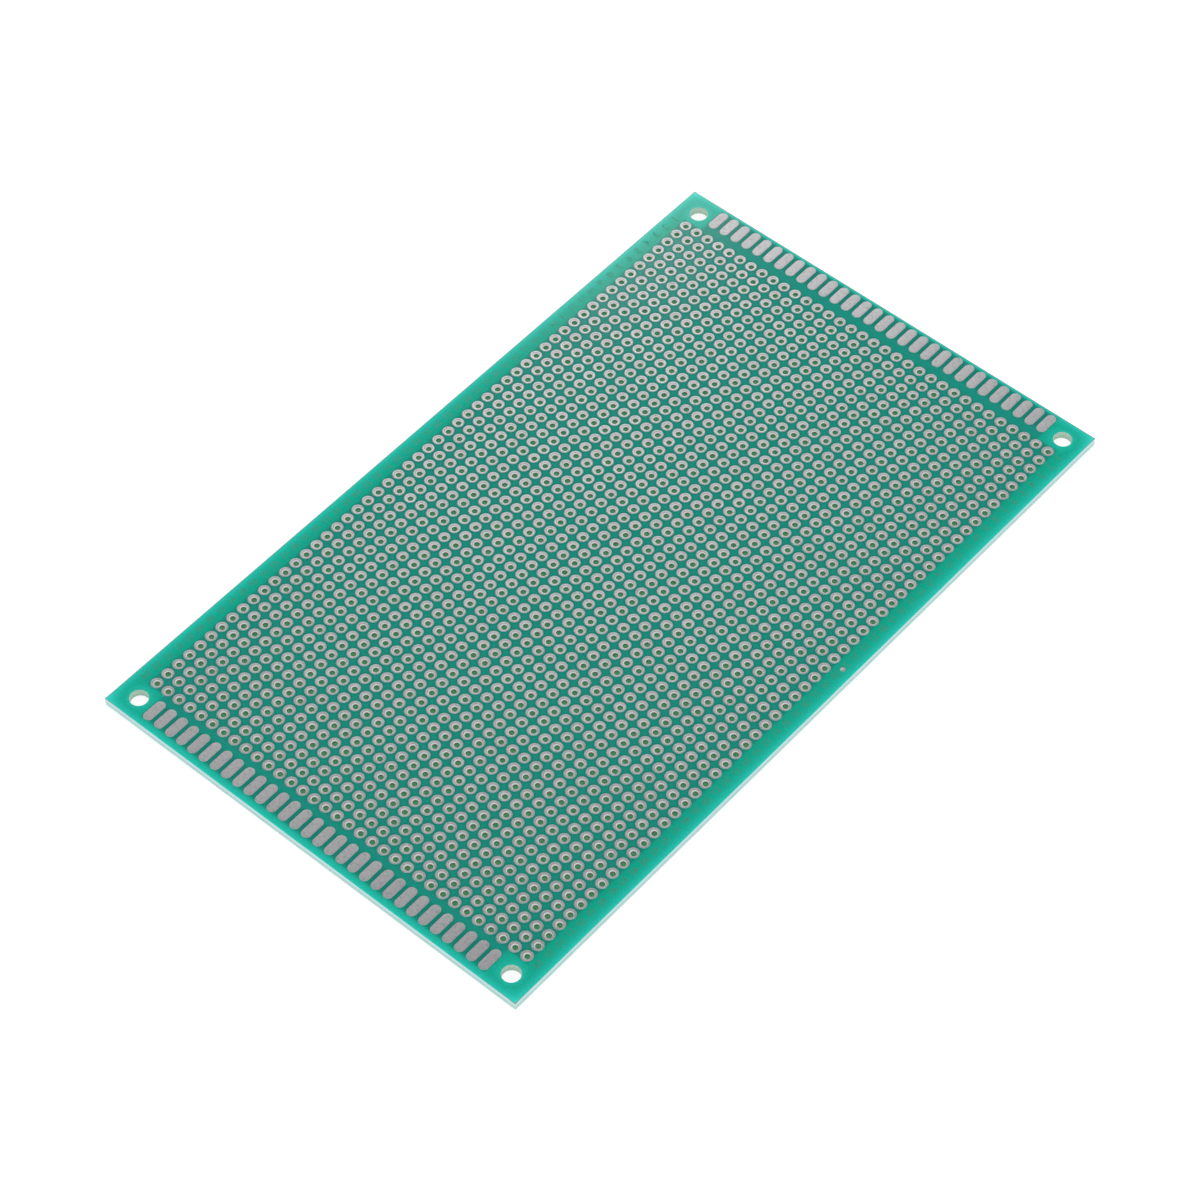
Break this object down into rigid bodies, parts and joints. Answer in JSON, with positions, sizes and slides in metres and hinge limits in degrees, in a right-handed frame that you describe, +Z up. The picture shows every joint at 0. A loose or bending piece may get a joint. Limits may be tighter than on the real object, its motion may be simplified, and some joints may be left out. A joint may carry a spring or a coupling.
{
  "type": "prototype board",
  "caption": "Single-sided glass-fibre prototype board with a grid of tinned ring pads and lead holes, oblong pads along both short ends and a mounting hole in each corner.",
  "frame": {"origin": "middle of the underside, which is the component side", "axes": "+X along the short edges, +Y along the long edges, +Z up out of the solder side"},
  "size_m": [0.09, 0.15, 0.0017],
  "materials": {
    "glass_fibre": "pale green-white cut edge of a glass-fibre and epoxy laminate, satin",
    "green_film": "blue-green solder mask, semi-gloss, lighter towards the board's edges",
    "green_film_back": "blue-green solder mask on the component side, semi-gloss",
    "tin": "hot-air levelled tin, soft satin grey with slight mottling"
  },
  "bodies": {
    "root": {"laminate": "glass_fibre", "solder_mask_front": "green_film", "solder_mask_back": "green_film_back", "round_pads": "tin", "end_pads": "tin", "margin_dot": "tin"}
  },
  "joints": []
}
